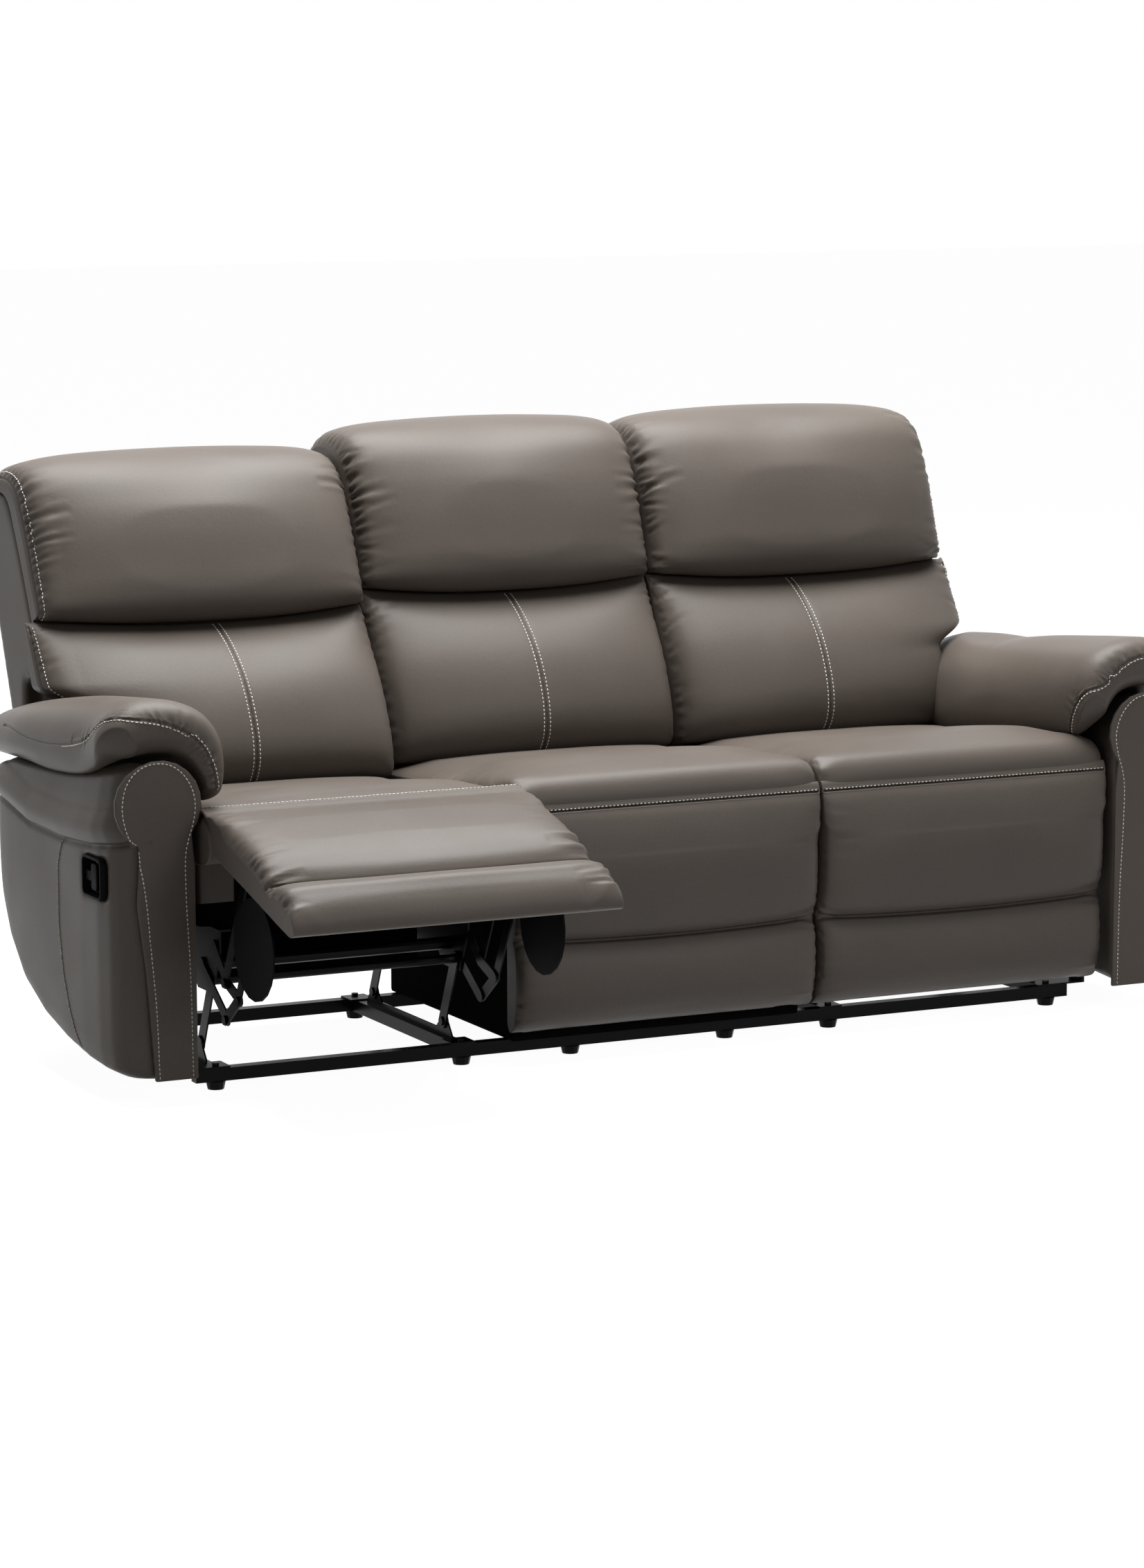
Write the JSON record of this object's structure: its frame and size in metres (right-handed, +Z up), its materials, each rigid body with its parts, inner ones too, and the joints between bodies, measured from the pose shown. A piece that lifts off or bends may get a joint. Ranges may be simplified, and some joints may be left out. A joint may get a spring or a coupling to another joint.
{
  "type": "reclining sofa",
  "caption": "Leather-covered sofa with rolled arms, a fixed middle seat and a manual recliner at each end: pull handles, swinging seats, footrests on links and reclining backs.",
  "frame": {"origin": "the floor under the middle of the sofa's box, as shown with the left footrest out", "axes": "+X to the right of someone facing the sofa, +Y to the back, +Z up"},
  "size_m": [2.0638, 1.3365, 1.0405],
  "materials": {
    "leather": "semi-matt taupe leather with off-white stitching",
    "steel": "black satin powder coat",
    "plastic": "black moulded",
    "lining": "black dust cover",
    "board": "plywood with dark lining"
  },
  "bodies": {
    "base": {"front_rail": "steel", "rear_rail": "steel", "left_outer_side_rail": "steel", "left_inner_side_rail": "steel", "left_arm_body": "leather", "left_arm_front_panel": "leather", "left_arm_pad": "leather", "left_handle_cup": "plastic", "right_outer_side_rail": "steel", "right_inner_side_rail": "steel", "right_arm_body": "leather", "right_arm_front_panel": "leather", "right_arm_pad": "leather", "right_handle_cup": "plastic", "middle_seat_box": "lining", "middle_seat_cushion": "leather", "middle_front_panel": "leather", "middle_back_frame": "leather", "middle_lumbar_cushion": "leather", "middle_head_cushion": "leather"},
    "left_front_swing": {"left_front_swing_frame": "steel"},
    "left_rear_swing": {"left_rear_swing_frame": "steel"},
    "left_seat": {"left_seat_chassis": "steel", "left_seat_box": "leather", "left_seat_cushion": "leather"},
    "left_crank": {"left_footrest_crank": "steel"},
    "left_front_links": {"left_outer_front_link": "steel", "left_inner_front_link": "steel"},
    "left_carrier_links": {"left_outer_carrier_link": "steel", "left_inner_carrier_link": "steel"},
    "left_guide_links": {"left_outer_guide_link": "steel", "left_inner_guide_link": "steel"},
    "left_footrest": {"left_footrest_board": "board", "left_footrest_pad": "leather", "left_outer_shield": "plastic", "left_inner_shield": "plastic"},
    "left_back": {"left_back_frame": "leather", "left_lumbar_cushion": "leather", "left_head_cushion": "leather"},
    "left_handle": {"left_handle_paddle": "plastic"},
    "right_front_swing": {"right_front_swing_frame": "steel"},
    "right_rear_swing": {"right_rear_swing_frame": "steel"},
    "right_seat": {"right_seat_chassis": "steel", "right_seat_box": "leather", "right_seat_cushion": "leather"},
    "right_crank": {"right_footrest_crank": "steel"},
    "right_front_links": {"right_outer_front_link": "steel", "right_inner_front_link": "steel"},
    "right_carrier_links": {"right_outer_carrier_link": "steel", "right_inner_carrier_link": "steel"},
    "right_guide_links": {"right_outer_guide_link": "steel", "right_inner_guide_link": "steel"},
    "right_footrest": {"right_footrest_board": "board", "right_footrest_pad": "leather", "right_outer_shield": "plastic", "right_inner_shield": "plastic"},
    "right_back": {"right_back_frame": "leather", "right_lumbar_cushion": "leather", "right_head_cushion": "leather"},
    "right_handle": {"right_handle_paddle": "plastic"}
  },
  "joints": [
    {"name": "left_footrest_swing", "type": "hinge", "parent": "base", "child": "left_front_swing", "pos_m": [-0.585, -0.0997, 0.062], "axis": [1, 0, 0], "range_deg": [-29.35, 0]},
    {"name": "left_rear_swing", "type": "hinge", "parent": "base", "child": "left_rear_swing", "pos_m": [-0.585, 0.1963, 0.062], "axis": [1, 0, 0], "range_deg": [-29.37, 0]},
    {"name": "left_seat_level", "type": "hinge", "parent": "left_front_swing", "child": "left_seat", "pos_m": [-0.585, -0.15258, 0.18076], "axis": [1, 0, 0], "range_deg": [0, 29.37]},
    {"name": "left_crank", "type": "hinge", "parent": "left_seat", "child": "left_crank", "pos_m": [-0.585, -0.1237, 0.20333], "axis": [1, 0, 0], "range_deg": [0, 75.02]},
    {"name": "left_front_links", "type": "hinge", "parent": "left_seat", "child": "left_front_links", "pos_m": [-0.585, -0.1797, 0.24533], "axis": [1, 0, 0], "range_deg": [0, 75.02]},
    {"name": "left_carrier_links", "type": "hinge", "parent": "left_crank", "child": "left_carrier_links", "pos_m": [-0.585, -0.23791, 0.12928], "axis": [1, 0, 0], "range_deg": [-75.02, 0]},
    {"name": "left_guide_links", "type": "hinge", "parent": "left_front_links", "child": "left_guide_links", "pos_m": [-0.585, -0.23725, 0.19163], "axis": [1, 0, 0], "range_deg": [-75.02, 0]},
    {"name": "left_footrest_tilt", "type": "hinge", "parent": "left_carrier_links", "child": "left_footrest", "pos_m": [-0.585, -0.39287, 0.36876], "axis": [1, 0, 0], "range_deg": [0, 75.02]},
    {"name": "left_recline", "type": "hinge", "parent": "left_seat", "child": "left_back", "pos_m": [-0.585, 0.2213, 0.30733], "axis": [1, 0, 0], "range_deg": [-25, 5]},
    {"name": "left_handle", "type": "hinge", "parent": "base", "child": "left_handle", "pos_m": [-1.02043, -0.1441, 0.376], "axis": [0, 0, 1], "range_deg": [-24, 0], "stiffness_Nm_per_rad": 0.4},
    {"name": "right_footrest_swing", "type": "hinge", "parent": "base", "child": "right_front_swing", "pos_m": [0.585, -0.0997, 0.062], "axis": [1, 0, 0], "range_deg": [0, 29.35]},
    {"name": "right_rear_swing", "type": "hinge", "parent": "base", "child": "right_rear_swing", "pos_m": [0.585, 0.1963, 0.062], "axis": [1, 0, 0], "range_deg": [0, 29.37]},
    {"name": "right_seat_level", "type": "hinge", "parent": "right_front_swing", "child": "right_seat", "pos_m": [0.585, -0.08758, 0.19143], "axis": [1, 0, 0], "range_deg": [-29.37, 0]},
    {"name": "right_crank", "type": "hinge", "parent": "right_seat", "child": "right_crank", "pos_m": [0.585, -0.0587, 0.214], "axis": [1, 0, 0], "range_deg": [-75.02, 0]},
    {"name": "right_front_links", "type": "hinge", "parent": "right_seat", "child": "right_front_links", "pos_m": [0.585, -0.1147, 0.256], "axis": [1, 0, 0], "range_deg": [-75.02, 0]},
    {"name": "right_carrier_links", "type": "hinge", "parent": "right_crank", "child": "right_carrier_links", "pos_m": [0.585, -0.01673, 0.08452], "axis": [1, 0, 0], "range_deg": [0, 75.02]},
    {"name": "right_guide_links", "type": "hinge", "parent": "right_front_links", "child": "right_guide_links", "pos_m": [0.585, -0.07773, 0.18652], "axis": [1, 0, 0], "range_deg": [0, 75.02]},
    {"name": "right_footrest_tilt", "type": "hinge", "parent": "right_carrier_links", "child": "right_footrest", "pos_m": [0.585, -0.1717, 0.324], "axis": [1, 0, 0], "range_deg": [-75.02, 0]},
    {"name": "right_recline", "type": "hinge", "parent": "right_seat", "child": "right_back", "pos_m": [0.585, 0.2863, 0.318], "axis": [1, 0, 0], "range_deg": [-30, 0]},
    {"name": "right_handle", "type": "hinge", "parent": "base", "child": "right_handle", "pos_m": [1.02043, -0.1441, 0.376], "axis": [0, 0, 1], "range_deg": [0, 24], "stiffness_Nm_per_rad": 0.4}
  ],
  "couplings": [
    {"joint": "left_rear_swing", "follows": "left_footrest_swing", "ratio": 1},
    {"joint": "left_seat_level", "follows": "left_footrest_swing", "ratio": -1},
    {"joint": "left_crank", "follows": "left_footrest_swing", "ratio": -2.5554},
    {"joint": "left_front_links", "follows": "left_footrest_swing", "ratio": -2.5554},
    {"joint": "left_carrier_links", "follows": "left_footrest_swing", "ratio": 2.5554},
    {"joint": "left_guide_links", "follows": "left_footrest_swing", "ratio": 2.5554},
    {"joint": "left_footrest_tilt", "follows": "left_footrest_swing", "ratio": -2.5554},
    {"joint": "right_rear_swing", "follows": "right_footrest_swing", "ratio": 1},
    {"joint": "right_seat_level", "follows": "right_footrest_swing", "ratio": -1},
    {"joint": "right_crank", "follows": "right_footrest_swing", "ratio": -2.5554},
    {"joint": "right_front_links", "follows": "right_footrest_swing", "ratio": -2.5554},
    {"joint": "right_carrier_links", "follows": "right_footrest_swing", "ratio": 2.5554},
    {"joint": "right_guide_links", "follows": "right_footrest_swing", "ratio": 2.5554},
    {"joint": "right_footrest_tilt", "follows": "right_footrest_swing", "ratio": -2.5554}
  ]
}
